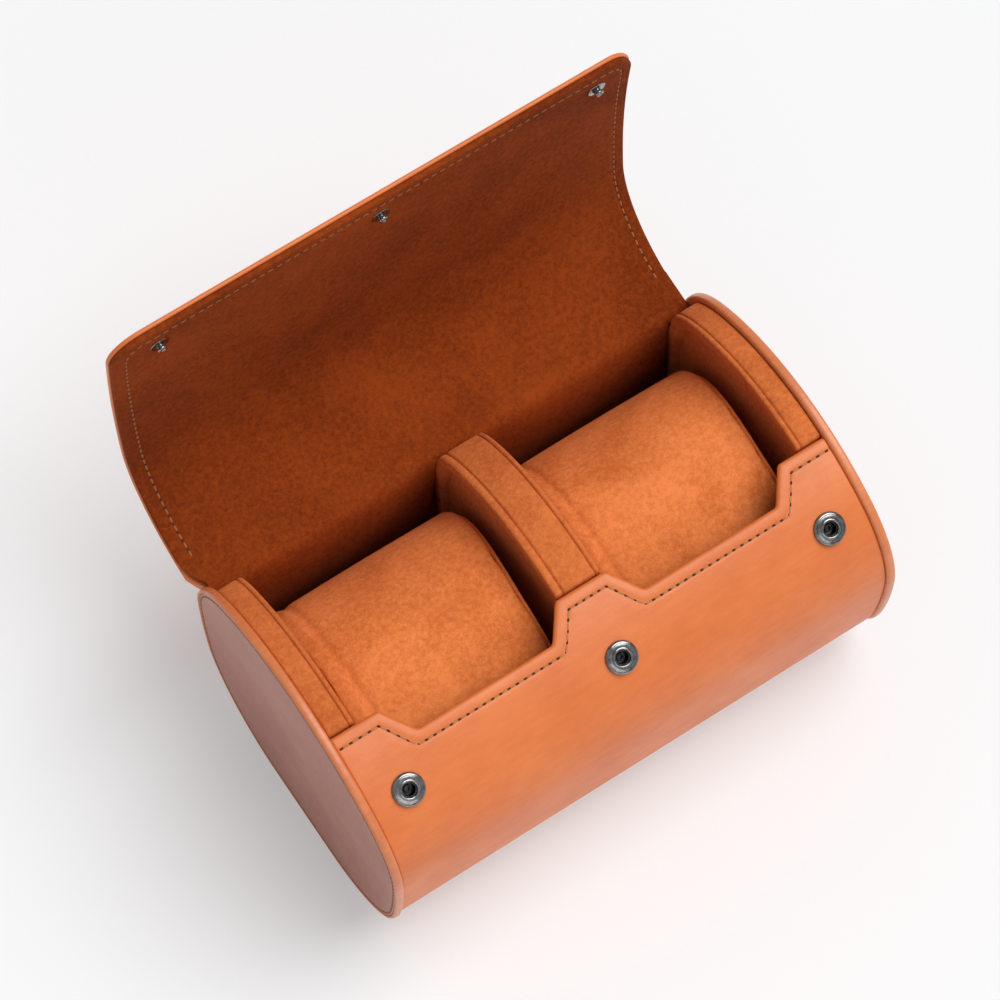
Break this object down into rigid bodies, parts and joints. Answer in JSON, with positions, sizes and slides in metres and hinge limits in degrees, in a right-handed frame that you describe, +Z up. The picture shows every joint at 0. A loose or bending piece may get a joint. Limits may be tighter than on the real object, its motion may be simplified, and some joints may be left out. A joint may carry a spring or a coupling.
{
  "type": "watch travel case",
  "caption": "Roll-shaped leather travel case for watches: padded dividers, lift-out barrel cushions and a curling flap lid closed by snap fasteners.",
  "frame": {"origin": "centre of the flat base, on the surface the case stands on", "axes": "+X along the roll to the right, +Y to the back where the lid is hinged, +Z up"},
  "size_m": [0.185, 0.1528, 0.1839],
  "materials": {
    "tan_leather": "smooth satin",
    "tan_suede": "napped matt",
    "grey_board": "matt",
    "dark_nickel": "polished"
  },
  "bodies": {
    "case": {"centre_divider_band": "tan_suede", "centre_divider_core": "grey_board", "centre_divider_faces": "tan_suede", "hinge_strip": "tan_leather", "left_divider_band": "tan_suede", "left_divider_core": "grey_board", "left_divider_face": "tan_suede", "left_end_board": "grey_board", "left_end_leather": "tan_leather", "left_end_rim_strip": "tan_leather", "right_divider_band": "tan_suede", "right_divider_core": "grey_board", "right_divider_face": "tan_suede", "right_end_board": "grey_board", "right_end_leather": "tan_leather", "right_end_rim_strip": "tan_leather", "shell_board": "grey_board", "shell_leather": "tan_leather", "shell_lining": "tan_suede", "snap_back_washers": "dark_nickel", "snap_socket_cups": "dark_nickel", "snap_socket_rings": "dark_nickel"},
    "lid_1": {"lid_leather_1": "tan_leather", "lid_lining_1": "tan_suede"},
    "lid_2": {"lid_leather_2": "tan_leather", "lid_lining_2": "tan_suede"},
    "lid_3": {"lid_leather_3": "tan_leather", "lid_lining_3": "tan_suede"},
    "lid_4": {"lid_leather_4": "tan_leather", "lid_lining_4": "tan_suede"},
    "lid_5": {"lid_leather_5": "tan_leather", "lid_lining_5": "tan_suede", "snap_stud_plates": "dark_nickel", "snap_studs": "dark_nickel"},
    "left_cushion": {"left_cushion_end_caps": "tan_suede", "left_cushion_pad": "tan_suede", "left_cushion_piping": "tan_suede"},
    "right_cushion": {"right_cushion_end_caps": "tan_suede", "right_cushion_pad": "tan_suede", "right_cushion_piping": "tan_suede"}
  },
  "joints": [
    {"name": "lid_hinge", "type": "hinge", "parent": "case", "child": "lid_1", "pos_m": [0, 0.05683, 0.07299], "axis": [1, 0, 0], "range_deg": [0, 94.34]},
    {"name": "lid_fold_1", "type": "hinge", "parent": "lid_1", "child": "lid_2", "pos_m": [0, 0.09143, 0.10815], "axis": [1, 0, 0], "range_deg": [-9.67, 0]},
    {"name": "lid_fold_2", "type": "hinge", "parent": "lid_2", "child": "lid_3", "pos_m": [0, 0.09227, 0.12699], "axis": [1, 0, 0], "range_deg": [0, 12]},
    {"name": "lid_fold_3", "type": "hinge", "parent": "lid_3", "child": "lid_4", "pos_m": [0, 0.09213, 0.14586], "axis": [1, 0, 0], "range_deg": [0, 12]},
    {"name": "lid_fold_4", "type": "hinge", "parent": "lid_4", "child": "lid_5", "pos_m": [0, 0.091, 0.16469], "axis": [1, 0, 0], "range_deg": [0, 8.21]},
    {"name": "left_cushion_lift", "type": "slide", "parent": "case", "child": "left_cushion", "axis": [0, 0, 1], "range_m": [0, 0.012]},
    {"name": "right_cushion_lift", "type": "slide", "parent": "case", "child": "right_cushion", "axis": [0, 0, 1], "range_m": [0, 0.012]}
  ],
  "couplings": [
    {"joint": "lid_fold_1", "follows": "lid_hinge", "ratio": -0.10195},
    {"joint": "lid_fold_2", "follows": "lid_hinge", "ratio": 0.12663},
    {"joint": "lid_fold_3", "follows": "lid_hinge", "ratio": 0.12663},
    {"joint": "lid_fold_4", "follows": "lid_hinge", "ratio": 0.086453}
  ]
}
